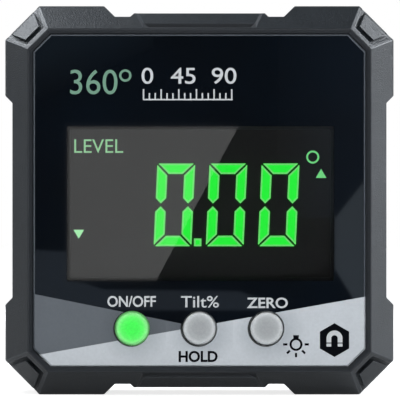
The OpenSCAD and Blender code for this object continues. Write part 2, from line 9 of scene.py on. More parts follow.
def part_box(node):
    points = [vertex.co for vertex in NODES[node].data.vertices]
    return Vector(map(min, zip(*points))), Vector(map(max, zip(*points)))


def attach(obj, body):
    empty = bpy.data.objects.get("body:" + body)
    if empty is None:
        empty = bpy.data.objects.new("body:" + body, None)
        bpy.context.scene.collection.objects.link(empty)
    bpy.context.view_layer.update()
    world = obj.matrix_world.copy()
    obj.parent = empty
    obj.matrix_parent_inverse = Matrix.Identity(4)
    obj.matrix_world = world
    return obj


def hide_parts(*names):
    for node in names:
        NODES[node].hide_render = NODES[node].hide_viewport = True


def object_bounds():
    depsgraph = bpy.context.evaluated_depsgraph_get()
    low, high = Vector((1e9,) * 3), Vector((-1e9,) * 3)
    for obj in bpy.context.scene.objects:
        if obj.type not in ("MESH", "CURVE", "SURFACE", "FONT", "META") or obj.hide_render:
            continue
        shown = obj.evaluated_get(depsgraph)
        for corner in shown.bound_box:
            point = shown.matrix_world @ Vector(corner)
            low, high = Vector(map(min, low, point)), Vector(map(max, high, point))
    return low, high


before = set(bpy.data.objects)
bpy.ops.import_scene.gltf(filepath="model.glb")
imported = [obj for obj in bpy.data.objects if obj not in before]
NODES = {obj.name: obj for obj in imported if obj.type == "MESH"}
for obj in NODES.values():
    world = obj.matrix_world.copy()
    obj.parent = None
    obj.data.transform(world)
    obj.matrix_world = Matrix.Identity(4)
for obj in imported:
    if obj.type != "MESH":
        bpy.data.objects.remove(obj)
cad_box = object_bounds()

MM = 0.001
CASE = "case"

# Places read from the frame, in metres
case_low, case_high = cad_box
window_low, window_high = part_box("display_window")
MID_Z = (case_low.z + case_high.z) / 2
PANEL_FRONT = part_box("front_panel")[0].y
GLASS_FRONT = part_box("lcd_glass")[0].y
SEGMENT_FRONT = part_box("lcd_segments")[0].y
KEY_BOXES = [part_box(n) for n in ("power_button", "hold_button", "zero_button")]
KEY_CENTRES = [(low + high) / 2 for low, high in KEY_BOXES]
KEY_Z = KEY_CENTRES[0].z
KEY_PITCH = KEY_CENTRES[2].x - KEY_CENTRES[1].x

# Sizes of finishes, in metres; an edge is measured out from the middle of the front
KEY_HOLE_R = 2.72 * MM
KEY_R = 2.5 * MM
KEY_FLAT_R = 0.9 * MM
# Reach of the painted shade around each key and of the painted shadow crescent beside it
KEY_SHADE_R = 2.2 * KEY_R
CRESCENT_SHADOW_R = KEY_HOLE_R + 0.12 * MM
CORNER_CUT = 23.1 * MM
PANEL_CUT = 22.75 * MM
# Outer edges of the painted shade inside the rim: on the band, on the crest, and on the ledge along the
# middle
BAND_EDGE = 26.2 * MM
CREST_EDGE = 26.62 * MM
LEDGE_EDGE = 27.22 * MM
LEDGE_HALF = 8.7 * MM
PANEL_EDGE = 25.3 * MM
FIGURES_LEFT = -12 * MM
FIGURES_RIGHT = 16.2 * MM
# Reach of the painted light on the display near its lower and right edges
PALE_LOW = 8 * MM
PALE_RIGHT = 6 * MM
CELL_TOP = 1.0 * MM
CELL_BASE = 0.2 * MM
CELL_RING_NEAR = 3.5 * MM
CELL_RING_FAR = 6.0 * MM
INK = 0.02 * MM

# Textures that several finishes share, in millimetres
CASE_GRAIN = 0.17
CASE_BUMP = 0.09
INK_MOTTLE = 0.35
DISPLAY_MOTTLE = 0.5

# Shares within finishes
SPECKLE_TO_GRAIN = 2.4
ROUGH_SPREAD = 0.07
BAND_DULLNESS = 0.25
KEY_SHOULDER = 0.18

# Limits and counts for mesh work
WELD = 0.0005 * MM
FLAT = math.radians(0.5)
SHARP = math.radians(24)
FACING = 0.9
MITRE_LIMIT = 1.5
EDGE_STEPS = 2
HOLE_STEPS = 96
HOLE_CUTTER = 4 * MM
RING_STEPS = 48
BOW_STEPS = 24
LETTER_STEPS = 6
LETTER_SIZE = 1.0

# Places of the two values and the result on a Mix node, by the kind of value
MIX_PLACES = {"FLOAT": (2, 3, 0), "RGBA": (6, 7, 2)}


def linear(r, g, b):
    """Linear colour for a colour given as 0 to 255 screen values."""
    def one(c):
        c /= 255
        return c / 12.92 if c <= 0.04045 else ((c + 0.055) / 1.055) ** 2.4
    return (one(r), one(g), one(b), 1.0)


def scaled(colour, k):
    """A colour k times as strong."""
    return (colour[0] * k, colour[1] * k, colour[2] * k, 1.0)


# Colours used inside the finishes, linear
WHITE = (1, 1, 1, 1)
BLACK = (0, 0, 0, 1)
PLASTIC_GREY = (0.0212, 0.0256, 0.0305, 1)
# Painted shade for the band inside the rim
BAND_PAINTED_SHADE = (0.018, 0.0215, 0.0265, 1)
BLACK_PRINT = (0.00015, 0.0012, 0.0029, 1)
# Painted highlight along the cut edge of the panel
CUT_EDGE_PAINTED_HIGHLIGHT = (0.12, 0.137, 0.16, 1)
SILVER = linear(184, 190, 196)
WEDGE = linear(86, 92, 99)
# Painted shade around the keys, and a painted shadow in a crescent beside each
KEY_PAINTED_SHADE = (0.76, 0.77, 0.78, 1)
CRESCENT_PAINTED_SHADOW = scaled(WHITE, 0.06)
GREEN = (0.022, 1.0, 0.050, 1)
DOWN_MARK = (0.42, 0.90, 0.47, 1)
UP_MARK = (0.20, 0.72, 0.26, 1)
GLASS_DEEP = (0.0395, 0.0386, 0.041, 1)
GLASS_PALE = (0.0425, 0.0416, 0.044, 1)
# Painted light that lifts the display where its walls shade it
GLASS_PAINTED_LIFT = scaled(WHITE, 1.4)
PANE_DEEP = (0.92, 0.94, 0.94, 1)
PANE_PALE = (0.95, 0.965, 0.965, 1)
SLEEVE_DEEP = (0.018, 0.036, 0.060, 1)
SLEEVE_PALE = (0.024, 0.046, 0.074, 1)
SLEEVE_RING = (0.55, 0.57, 0.58, 1)
CELL_STEEL = (0.62, 0.62, 0.61, 1)

# Print on the panel, in millimetres from the middle of the case
PANEL_FACE = 25.35
PANEL_FACE_LEG = 2.64
PANEL_FACE_CORNER = PANEL_FACE - PANEL_FACE_LEG
FIELD_LEFT = (-24.37, -23.69)
FIELD_RIGHT = (PANEL_FACE, -14.85)
WEDGE_LEFT = (-PANEL_FACE, -14.43)
WEDGE_TIP = (-0.45, -19.435)


class Wiring:
    """A node tree, with short calls that wire it."""

    def __init__(self, tree):
        self.tree = tree

    def feed(self, value, socket):
        """Gives an input the value of another socket, or a plain value."""
        if isinstance(value, bpy.types.NodeSocket):
            self.tree.links.new(value, socket)
        else:
            socket.default_value = value

    def node(self, kind, inputs, **settings):
        """New node with its settings, and with its inputs fed."""
        made = self.tree.nodes.new(kind)
        for key, value in settings.items():
            setattr(made, key, value)
        for place, value in inputs.items():
            self.feed(value, made.inputs[place])
        return made

    def math(self, operation, *values):
        """One sum on sockets or numbers."""
        return self.node("ShaderNodeMath", dict(enumerate(values)), operation=operation).outputs["Value"]

    def axes(self, vector):
        """The x, y and z of a vector."""
        return self.node("ShaderNodeSeparateXYZ", {"Vector": vector}).outputs

    def span(self, factor, low, high, from_low=0.0, from_high=1.0):
        """Factor mapped to a range of numbers."""
        inputs = {"Value": factor, "From Min": from_low, "From Max": from_high, "To Min": low, "To Max": high}
        return self.node("ShaderNodeMapRange", inputs).outputs["Result"]

    def share(self, value, start, end):
        """How far a value has come from start to end, from 0 to 1."""
        return self.span(value, 0.0, 1.0, start, end)

    def mix(self, factor, a, b, kind="RGBA", blend="MIX"):
        """Two values mixed by a factor; each may be a socket."""
        place_a, place_b, result = MIX_PLACES[kind]
        inputs = {"Factor": factor, place_a: a, place_b: b}
        return self.node("ShaderNodeMix", inputs, data_type=kind, blend_type=blend).outputs[result]

    def times(self, a, b):
        """Two colours multiplied."""
        return self.mix(1.0, a, b, blend="MULTIPLY")


class Finish(Wiring):
    """A Principled material, with short calls for its textures."""

    def __init__(self, name):
        self.material = bpy.data.materials.new(name)
        self.material.use_nodes = True
        super().__init__(self.material.node_tree)
        self.shader = self.tree.nodes["Principled BSDF"]
        self.place = self.node("ShaderNodeTexCoord", {}).outputs["Object"]

    def set(self, **values):
        """Feeds inputs of the shader, each named with _ for its spaces."""
        for key, value in values.items():
            self.feed(value, self.shader.inputs[key.replace("_", " ")])

    def noise(self, size_mm, detail=3.0, rough=0.55, stretch=(1, 1, 1)):
        """Noise whose features are about size_mm wide."""
        scale = [s / (size_mm * MM) for s in stretch]
        mapping = self.node("ShaderNodeMapping", {"Vector": self.place, "Scale": scale})
        inputs = {"Vector": mapping.outputs["Vector"], "Scale": 1.0, "Detail": detail, "Roughness": rough}
        return self.node("ShaderNodeTexNoise", inputs).outputs["Fac"]

    def ramp(self, factor, stops):
        """Colour ramp over a factor, from a list of (place, colour)."""
        made = self.node("ShaderNodeValToRGB", {"Fac": factor})
        elements = made.color_ramp.elements
        while len(elements) < len(stops):
            elements.new(0.5)
        for element, (place, colour) in zip(elements, stops):
            element.position = place
            element.color = colour
        return made.outputs["Color"]

    def between(self, factor, first, second, start=0.3):
        """A colour that goes from one to another over a factor, all of it or the middle."""
        return self.ramp(factor, [(start, first), (1 - start, second)])

    def tones(self, factor, colour, low, high, start=0.3):
        """A colour that goes from low to high times its strength over the middle of a factor."""
        return self.between(factor, scaled(colour, low), scaled(colour, high), start)

    def bump(self, height, distance_mm):
        """Fine relief of the surface."""
        inputs = {"Height": height, "Distance": distance_mm * MM, "Strength": 1.0}
        self.set(Normal=self.node("ShaderNodeBump", inputs).outputs["Normal"])

    def rim(self, cut):
        """Distance out from the middle of the front, over a square with cut corners, in metres."""
        x, _, z = self.axes(self.place)
        across = self.math("ABSOLUTE", x)
        up = self.math("ABSOLUTE", self.math("SUBTRACT", z, MID_Z))
        corner = self.math("SUBTRACT", self.math("ADD", across, up), cut)
        return self.math("MAXIMUM", self.math("MAXIMUM", across, up), corner)

    def key_radius(self, left_mm=0.0, down_mm=0.0):
        """Distance from the middle of the nearest key, or from a place beside it, in metres."""
        x, _, z = self.axes(self.place)
        across = self.math("SUBTRACT", x, KEY_CENTRES[1].x)
        count = self.math("ROUND", self.math("DIVIDE", across, KEY_PITCH))
        nearest = self.math("MAXIMUM", self.math("MINIMUM", count, 1.0), -1.0)
        across = self.math("SUBTRACT", across, self.math("MULTIPLY", nearest, KEY_PITCH))
        across = self.math("ADD", across, left_mm * MM)
        up = self.math("SUBTRACT", z, KEY_Z - down_mm * MM)
        square = self.math("ADD", self.math("MULTIPLY", across, across), self.math("MULTIPLY", up, up))
        return self.math("SQRT", square)


def moulded(name, colour, grain_mm, bump_mm, rough, specular=0.5, spread=0.12, band_edge=None):
    """Moulded plastic: fine grain, cloudy colour, uneven gloss and, if asked, a band inside the rim with
    painted shade in its colour and a duller gloss.
    """
    f = Finish(name)
    grain = f.noise(grain_mm, detail=2.0)
    cloud = f.noise(size_mm=9.0)
    speckle = f.noise(SPECKLE_TO_GRAIN * grain_mm, rough=0.7)
    clouded = f.tones(cloud, colour, low=1 - spread, high=1 + spread)
    tint = f.times(clouded, f.tones(speckle, WHITE, low=0.74, high=1.24))
    uneven = f.span(grain, low=rough - ROUGH_SPREAD, high=rough + ROUGH_SPREAD)
    # Painted shade: inside the rim, and across the ledge along the middle, the colour is darkened where the
    # step lies in shade
    if band_edge:
        x, _, _ = f.axes(f.place)
        middle = f.math("LESS_THAN", f.math("ABSOLUTE", x), LEDGE_HALF)
        edge = f.math("ADD", f.math("MULTIPLY", middle, LEDGE_EDGE - band_edge), band_edge)
        inside = f.math("LESS_THAN", f.rim(CORNER_CUT), edge)
        tint = f.mix(inside, tint, BAND_PAINTED_SHADE)
        uneven = f.math("ADD", uneven, f.math("MULTIPLY", inside, BAND_DULLNESS))
    f.set(Base_Color=tint, Roughness=uneven, Specular_IOR_Level=specular)
    f.bump(grain, bump_mm)
    return f.material


def cell_wrap(name, node, nub_side):
    """Wrapped cell: a dark sleeve with a pale ring near its nub, and bare steel ends."""
    low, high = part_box(node)
    nub, base = (high.x, low.x) if nub_side > 0 else (-low.x, -high.x)
    shoulder = nub - CELL_TOP
    f = Finish(name)
    x, _, _ = f.axes(f.place)
    along = f.math("MULTIPLY", x, nub_side)
    top = f.math("GREATER_THAN", along, shoulder)
    steel = f.math("MAXIMUM", top, f.math("LESS_THAN", along, base + CELL_BASE))
    past = f.math("GREATER_THAN", along, shoulder - CELL_RING_FAR)
    ringed = f.math("MULTIPLY", past, f.math("LESS_THAN", along, shoulder - CELL_RING_NEAR))
    cloud = f.noise(size_mm=6.0, detail=4.0)
    scuff = f.noise(size_mm=0.5, stretch=(1, 6, 6))
    sleeve = f.between(cloud, SLEEVE_DEEP, SLEEVE_PALE)
    tint = f.mix(steel, f.mix(ringed, sleeve, SLEEVE_RING), CELL_STEEL)
    uneven = f.span(scuff, low=0.22, high=0.38)
    f.set(Base_Color=tint, Metallic=steel, Roughness=uneven, Specular_IOR_Level=0.5)
    f.bump(scuff, distance_mm=0.003)
    return f.material


def metal(name, colour, rough, streak=(1, 1, 1)):
    """Plated or brushed metal with fine streaks."""
    f = Finish(name)
    streaks = f.noise(size_mm=0.12, detail=4.0, stretch=streak)
    tint = f.tones(streaks, colour, low=0.85, high=1.08)
    uneven = f.span(streaks, low=rough - 0.06, high=rough + 0.1)
    f.set(Base_Color=tint, Metallic=1.0, Roughness=uneven)
    f.bump(streaks, distance_mm=0.004)
    return f.material


def ink(name, colour, specular=0.4):
    """Screen-printed ink: nearly even, with a faint mottle."""
    f = Finish(name)
    mottle = f.noise(INK_MOTTLE, detail=4.0)
    tint = f.tones(mottle, colour, low=0.95, high=1.05)
    uneven = f.span(mottle, low=0.40, high=0.50)
    f.set(Base_Color=tint, Roughness=uneven, Specular_IOR_Level=specular)
    return f.material


def field_ink(name, colour):
    """Ink of the lower fields: mottled, with painted shade around the keys and a painted shadow in a thin
    crescent beside each key.
    """
    f = Finish(name)
    mottle = f.noise(INK_MOTTLE, detail=4.0)
    cloud = f.noise(size_mm=7.0, detail=2.0)
    mottled = f.tones(mottle, colour, low=0.96, high=1.04)
    clouded = f.tones(cloud, WHITE, low=0.95, high=1.02)
    # Painted shade around each key, and a painted shadow in a thin crescent on one side of its hole
    around = f.share(f.key_radius(left_mm=-0.5, down_mm=0.3), KEY_R, KEY_SHADE_R)
    painted_key_shade = f.between(around, KEY_PAINTED_SHADE, WHITE, start=0.0)
    beside = f.share(f.key_radius(left_mm=0.14, down_mm=0.05), KEY_HOLE_R, CRESCENT_SHADOW_R)
    painted_shading = f.between(beside, CRESCENT_PAINTED_SHADOW, WHITE, start=0.0)
    tint = f.times(f.times(mottled, clouded), f.times(painted_key_shade, painted_shading))
    uneven = f.span(mottle, low=0.37, high=0.47)
    f.set(Base_Color=tint, Roughness=uneven, Specular_IOR_Level=0.4)
    return f.material


def lit(name, colour, strength, marks=None):
    """Lit display segment: bright colour with a faint mottle; the marks beside the figures may differ."""
    f = Finish(name)
    mottle = f.noise(DISPLAY_MOTTLE, detail=2.0)
    glow = f.tones(mottle, colour, low=0.94, high=1.06)
    if marks:
        x, _, _ = f.axes(f.place)
        left = f.math("LESS_THAN", x, FIGURES_LEFT)
        right = f.math("GREATER_THAN", x, FIGURES_RIGHT)
        glow = f.mix(right, f.mix(left, glow, marks[0]), marks[1])
    uneven = f.span(mottle, low=0.35, high=0.45)
    f.set(Base_Color=scaled(colour, k=0.3), Roughness=uneven, Specular_IOR_Level=0.1)
    f.set(Emission_Color=glow, Emission_Strength=strength)
    return f.material


def clear_pane(name):
    """Clear polished pane with the faintest unevenness in its tint."""
    f = Finish(name)
    tint = f.between(f.noise(size_mm=14.0, detail=1.0), PANE_DEEP, PANE_PALE)
    f.set(Base_Color=tint, Roughness=0.0, Transmission_Weight=1.0, IOR=1.49)
    return f.material


def display_cell(name):
    """Dark glass of the display, with a faint mottle, and painted light that makes it paler near its lower
    and right edges, where its walls shade it.
    """
    f = Finish(name)
    mottle = f.noise(DISPLAY_MOTTLE, detail=2.0)
    mottled = f.between(mottle, GLASS_DEEP, GLASS_PALE)
    x, _, z = f.axes(f.place)
    down = f.share(z, window_low.z + PALE_LOW, window_low.z)
    right = f.share(x, window_high.x - PALE_RIGHT, window_high.x)
    paler = f.between(f.math("MAXIMUM", down, right), WHITE, GLASS_PAINTED_LIFT, start=0.0)
    uneven = f.span(mottle, low=0.42, high=0.48)
    f.set(Base_Color=f.times(mottled, paler), Roughness=uneven, Specular_IOR_Level=0.1)
    return f.material


def printed_panel(name):
    """Black sheet under a gloss coat: grey and silver below slanted lines, a painted highlight along its cut
    edge and painted shade in the key bores.
    """
    f = Finish(name)
    x, _, z = f.axes(f.place)

    def below(left, right):
        """1 below the line through two places on the panel."""
        slope = (right[1] - left[1]) / (right[0] - left[0])
        start = MID_Z + (left[1] - slope * left[0]) * MM
        line = f.math("ADD", f.math("MULTIPLY", x, slope), start)
        return f.math("LESS_THAN", z, line)

    cloud = f.noise(size_mm=22.0, detail=2.0)
    tint = f.tones(cloud, BLACK_PRINT, low=1.0, high=1.8, start=0.35)
    # Painted highlight along the cut edge of the panel
    edge = f.math("GREATER_THAN", f.rim(PANEL_CUT), PANEL_EDGE)
    tint = f.mix(edge, tint, CUT_EDGE_PAINTED_HIGHLIGHT)
    tint = f.mix(below(WEDGE_LEFT, WEDGE_TIP), tint, WEDGE)
    tint = f.mix(below(FIELD_LEFT, FIELD_RIGHT), tint, SILVER)
    # Painted shade in the key bores, which darkens the gaps around the keys
    painted_bore_shade = f.math("LESS_THAN", f.key_radius(), KEY_HOLE_R + INK)
    tint = f.mix(painted_bore_shade, tint, BLACK_PRINT)
    grain = f.noise(size_mm=0.16, detail=2.0)
    uneven = f.span(grain, low=0.38, high=0.52)
    f.set(Base_Color=tint, Roughness=uneven, Specular_IOR_Level=0.05)
    f.set(Coat_Weight=1.0, Coat_Roughness=0.014)
    return f.material


def key_cap(name, middle, rim, glow=0.0):
    """Moulded key cap, paler towards its rounded rim with painted highlight, with a fine grain; any glow is
    painted light.
    """
    f = Finish(name)
    outward = f.share(f.key_radius(), KEY_FLAT_R, KEY_R)
    shoulder = [m + (r - m) * KEY_SHOULDER for m, r in zip(middle, rim)]
    painted_shading = f.ramp(outward, [(0.0, middle), (0.5, shoulder), (1.0, rim)])
    grain = f.noise(size_mm=0.25, detail=2.0)
    tint = f.times(painted_shading, f.tones(grain, WHITE, low=0.95, high=1.05, start=0.35))
    uneven = f.span(grain, low=0.34, high=0.44)
    f.set(Base_Color=tint, Roughness=uneven, Specular_IOR_Level=0.4)
    f.set(Emission_Color=tint, Emission_Strength=glow)
    f.bump(grain, distance_mm=0.004)
    return f.material


# One finish for each kind of surface
# The front case carries painted shade in the band inside its rim
case_grey = moulded("case_grey", PLASTIC_GREY, CASE_GRAIN, CASE_BUMP, rough=0.36, band_edge=BAND_EDGE)
rear_grey = moulded("rear_grey", PLASTIC_GREY, CASE_GRAIN, CASE_BUMP, rough=0.36)
door_grey = moulded("door_grey", PLASTIC_GREY, CASE_GRAIN, CASE_BUMP, rough=0.38)
# Edge finish: paler than the case, partly wear and partly painted highlight; inside the crest it takes the
# painted shade of the band
edge_wear_and_highlight = moulded("edge_wear_and_highlight", (0.042, 0.049, 0.057, 1), CASE_GRAIN, bump_mm=0.02, rough=0.34,
                    band_edge=CREST_EDGE)
seal_black = moulded("seal_black", (0.012, 0.012, 0.013, 1), grain_mm=0.2, bump_mm=0.015, rough=0.75,
                     specular=0.3)
panel_black = printed_panel("panel_print")
silver_ink = field_ink("silver_ink", SILVER)
wedge_ink = field_ink("wedge_ink", WEDGE)
white_ink = ink("white_ink", linear(186, 190, 193))
dark_ink = ink("dark_ink", linear(5, 7, 12), specular=0.05)
green_ink = ink("green_ink", linear(100, 140, 120))
green_lit = lit("green_lit", GREEN, strength=0.90, marks=(DOWN_MARK, UP_MARK))
pale_lit = lit("pale_lit", (0.49, 1.0, 0.54, 1), strength=0.54)
glow_dark = lit("glow_dark", (0.002, 0.10, 0.003, 1), strength=0.45)
rim_lit = lit("rim_lit", (0.17, 0.78, 0.18, 1), strength=0.90)
pane = clear_pane("pane")
cell_dark = display_cell("cell_dark")
# Key rims paler with painted highlight; the green key is no lamp, and its glow is painted light
key_green = key_cap("key_green", middle=(0.034, 0.72, 0.060, 1), rim=(0.24, 0.70, 0.25, 1), glow=0.25)
key_grey = key_cap("key_grey", middle=(0.308, 0.327, 0.34, 1), rim=(0.60, 0.63, 0.65, 1))
guide_clear = moulded("guide_clear", (0.75, 0.80, 0.77, 1), grain_mm=0.6, bump_mm=0.004, rough=0.3,
                      spread=0.03)
frame_white = moulded("frame_white", (0.78, 0.78, 0.76, 1), grain_mm=0.25, bump_mm=0.01, rough=0.45,
                      spread=0.04)
strip_grey = moulded("strip_grey", (0.15, 0.19, 0.23, 1), grain_mm=0.3, bump_mm=0.01, rough=0.6)
board_green = moulded("board_green", (0.012, 0.14, 0.055, 1), grain_mm=0.8, bump_mm=0.006, rough=0.35,
                      spread=0.2)
lamp_cream = moulded("lamp_cream", (0.88, 0.80, 0.52, 1), grain_mm=0.3, bump_mm=0.004, rough=0.35,
                     spread=0.04)
chip_black = moulded("chip_black", (0.017, 0.018, 0.019, 1), grain_mm=0.15, bump_mm=0.006, rough=0.5)
upper_wrap = cell_wrap("upper_wrap", "upper_cell", nub_side=1)
lower_wrap = cell_wrap("lower_wrap", "lower_cell", nub_side=-1)
contact_metal = metal("contact_metal", (0.74, 0.74, 0.72), rough=0.22)
switch_metal = metal("switch_metal", (0.58, 0.60, 0.62), rough=0.32, streak=(1, 1, 8))
pin_steel = metal("pin_steel", (0.60, 0.60, 0.61), rough=0.28, streak=(8, 1, 1))
magnet_plate = metal("magnet_plate", (0.72, 0.72, 0.73), rough=0.2)
screw_steel = metal("screw_steel", (0.35, 0.36, 0.37), rough=0.3)

# The finish of each CAD piece
LOOKS = {
    "front_case": case_grey, "rear_case": rear_grey, "battery_door": door_grey,
    "case_seal": seal_black, "door_seal": seal_black, "front_panel": panel_black,
    "display_window": pane, "lcd_glass": cell_dark, "lcd_segments": green_lit,
    "light_guide": guide_clear, "lcd_frame": frame_white, "lcd_connector": strip_grey,
    "main_board": board_green, "backlight_leds": lamp_cream, "tilt_sensor": chip_black,
    "controller_chip": chip_black, "key_switches": switch_metal, "power_button": key_green,
    "hold_button": key_grey, "zero_button": key_grey, "upper_cell": upper_wrap, "lower_cell": lower_wrap,
    "spring_contacts": contact_metal, "plate_contacts": contact_metal, "hinge_pins": pin_steel,
    "base_magnets": magnet_plate, "case_screws": screw_steel, "board_screws": screw_steel}


def dress(mesh, *looks):
    """Gives a mesh its finishes, in place of any that it has."""
    mesh.materials.clear()
    for look in looks:
        mesh.materials.append(look)


for name, look in LOOKS.items():
    dress(NODES[name].data, look)


def on_front(x, v, y):
    """Point on the front view, given in millimetres from the middle of the case, at a depth in metres."""
    return Vector((x * MM, y, MID_Z + v * MM))


def in_scene(name, data):
    """New object in the scene."""
    made = bpy.data.objects.new(name, data)
    bpy.context.scene.collection.objects.link(made)
    return made


def add_piece(name, mesh, body=CASE):
    """Puts a dressed mesh into the scene as a piece that rides on a body."""
    piece = in_scene(name, mesh)
    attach(piece, body)
    return piece


def applied(source):
    """The mesh of an object with its modifiers applied."""
    graph = bpy.context.evaluated_depsgraph_get()
    return bpy.data.meshes.new_from_object(source.evaluated_get(graph))


def welded(mesh):
    """A mesh opened for editing, with its points joined and its flat faces whole."""
    bm = bmesh.new()
    bm.from_mesh(mesh)
    bmesh.ops.remove_doubles(bm, verts=bm.verts, dist=WELD)
    bmesh.ops.dissolve_limit(bm, angle_limit=FLAT, verts=bm.verts, edges=bm.edges)
    return bm


def written(bm, mesh):
    """Writes an edited mesh and ends the editing."""
    bm.to_mesh(mesh)
    bm.free()
    return mesh


def softened(name, source, width_mm, look, body):
    """Stands in for a CAD piece with a copy whose sharp edges are rounded over in a paler finish, partly wear
    and partly painted highlight.
    """
    mesh = NODES[source].data.copy()
    bm = welded(mesh)
    for face in bm.faces:
        face.smooth = True
    written(bm, mesh)
    dress(mesh, look, edge_wear_and_highlight)
    blank = in_scene(name + "_blank", mesh)
    round_over = blank.modifiers.new("edges", "BEVEL")
    round_over.width = width_mm * MM
    round_over.segments = EDGE_STEPS
    round_over.limit_method = "ANGLE"
    round_over.angle_limit = SHARP
    round_over.use_clamp_overlap = False
    # The rounded edges take the paler edge finish: partly wear, partly painted highlight
    round_over.material = mesh.materials.find(edge_wear_and_highlight.name)
    even = blank.modifiers.new("normals", "WEIGHTED_NORMAL")
    even.mode = "FACE_AREA"
    even.weight = 100
    rounded = applied(blank)
    bpy.data.objects.remove(blank)
    rounded.name = name
    piece = add_piece(name, rounded, body)
    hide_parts(source)


def plate_mesh(name, outlines, back_y, thickness):
    """Thin plate of one or more outlines, which join where they meet, standing out forward from back_y."""
    bm = bmesh.new()
    for outline in outlines:
        bm.faces.new([bm.verts.new(on_front(x, v, back_y)) for x, v in outline])
    bmesh.ops.remove_doubles(bm, verts=bm.verts, dist=WELD)
    raised = bmesh.ops.extrude_face_region(bm, geom=bm.faces[:])["geom"]
    moved = [g for g in raised if isinstance(g, bmesh.types.BMVert)]
    bmesh.ops.translate(bm, vec=(0, -thickness, 0), verts=moved)
    bmesh.ops.recalc_face_normals(bm, faces=bm.faces)
    return written(bm, bpy.data.meshes.new(name))


def without_keys(mesh):
    """The mesh with clear holes at the three keys."""
    bm = bmesh.new()
    for centre in KEY_CENTRES:
        turn = Matrix.Translation((centre.x, PANEL_FRONT, KEY_Z)) @ Matrix.Rotation(math.pi / 2, 4, "X")
        bmesh.ops.create_cone(bm, cap_ends=True, segments=HOLE_STEPS, radius1=KEY_HOLE_R, radius2=KEY_HOLE_R,
                              depth=HOLE_CUTTER, matrix=turn)
    cutter = in_scene("key_cutter", written(bm, bpy.data.meshes.new("key_cutter")))
    blank = in_scene("ink_blank", mesh)
    cut = blank.modifiers.new("keys", "BOOLEAN")
    cut.object = cutter
    cut.operation = "DIFFERENCE"
    cut.solver = "EXACT"
    result = applied(blank)
    for used in (cutter, blank):
        bpy.data.objects.remove(used)
    return result


def circle(x, v, r, count=RING_STEPS, start=0.0, sweep=360.0):
    """Points along an arc, in millimetres."""
    last = count if sweep < 360 else count - 1
    angles = [math.radians(start + sweep * i / count) for i in range(last + 1)]
    return [(x + r * math.cos(a), v + r * math.sin(a)) for a in angles]


def bar(start, end, width):
    """Outline of a straight stroke between two places."""
    start, end = Vector(start), Vector(end)
    along = (end - start).normalized()
    side = Vector((-along.y, along.x)) * width / 2
    return [start + side, start - side, end - side, end + side]


def ring(x, v, r, width):
    """Outlines of a ring, as a row of short quads."""
    outer, inner = circle(x, v, r), circle(x, v, r - width)
    return [[outer[i - 1], outer[i], inner[i], inner[i - 1]] for i in range(RING_STEPS)]


def grown(points, width):
    """Outline moved outward by a width, with mitred corners."""
    moved = []
    for before, here, after in zip(points[-1:] + points[:-1], points, points[1:] + points[:1]):
        a, b = (here - before).normalized(), (after - here).normalized()
        side_a, side_b = Vector((a.y, -a.x)), Vector((b.y, -b.x))
        corner = (side_a + side_b) / (1 + side_a.dot(side_b))
        moved.append(here + corner * width * min(1.0, MITRE_LIMIT / corner.length))
    return moved


def print_plate(name, outlines, look, layer=1, back=PANEL_FRONT):
    """Ink shapes on the front; a higher layer lies on a lower one."""
    mesh = plate_mesh(name, outlines, back - (layer - 1) * INK, INK)
    dress(mesh, look)
    add_piece(name, mesh)


def lettering(name, words, box, look, weight=0.0, layer=1, back=PANEL_FRONT):
    """Words fitted into a box on the front, given as left, right, foot and top, as flat raised ink."""
    curve = bpy.data.curves.new(name, "FONT")
    curve.body = words
    curve.size = LETTER_SIZE
    curve.offset = weight
    curve.resolution_u = LETTER_STEPS
    curve.extrude = LETTER_SIZE / 2
    source = in_scene(name + "_curve", curve)
    mesh = applied(source)
    bpy.data.objects.remove(source)
    left, right, foot, top = box
    ends = [(min(side), max(side)) for side in zip(*(point.co for point in mesh.vertices))]
    for point in mesh.vertices:
        across, up, out = ((c - low) / (high - low) for c, (low, high) in zip(point.co, ends))
        depth = back - (layer - 1 + out) * INK
        point.co = on_front(left + (right - left) * across, foot + (top - foot) * up, depth)
    mesh.name = name
    dress(mesh, look)
    add_piece(name, mesh)


# Shells and door with rounded edges
SHELL_ROUND = 0.09
DOOR_ROUND = 0.12
softened("front_shell", "front_case", SHELL_ROUND, case_grey, CASE)
softened("rear_shell", "rear_case", SHELL_ROUND, rear_grey, CASE)
softened("door_shell", "battery_door", DOOR_ROUND, door_grey, "battery_door")

# Silver field and grey wedge
FIELDS = [
    ("silver_field", silver_ink, [
        FIELD_LEFT, (-PANEL_FACE_CORNER, -PANEL_FACE), (PANEL_FACE_CORNER, -PANEL_FACE),
        (PANEL_FACE, -PANEL_FACE_CORNER), FIELD_RIGHT]),
    ("grey_wedge", wedge_ink, [
        WEDGE_LEFT, (-PANEL_FACE, -PANEL_FACE_CORNER), FIELD_LEFT, WEDGE_TIP])]
for name, look, outline in FIELDS:
    field = without_keys(plate_mesh(name, [outline], PANEL_FRONT, INK))
    dress(field, look)
    add_piece(name, field)

# Key labels, on top of the fields, each with the box that it fills and the weight of its strokes
LABELS = [
    ("label_power", "ON/OFF", (-14.15, -6.7, -16.4, -14.7), white_ink, 0.02),
    ("label_tilt", "Tilt%", (-2.85, 3.0, -16.5, -14.7), white_ink, 0.008),
    ("label_zero", "ZERO", (7.3, 13.6, -16.6, -14.95), white_ink, 0.02),
    ("label_hold", "HOLD", (-3.2, 2.8, -24.9, -23.15), dark_ink, 0.034)]
for name, words, box, look, weight in LABELS:
    lettering(name, words, box, look, weight=weight, layer=2)

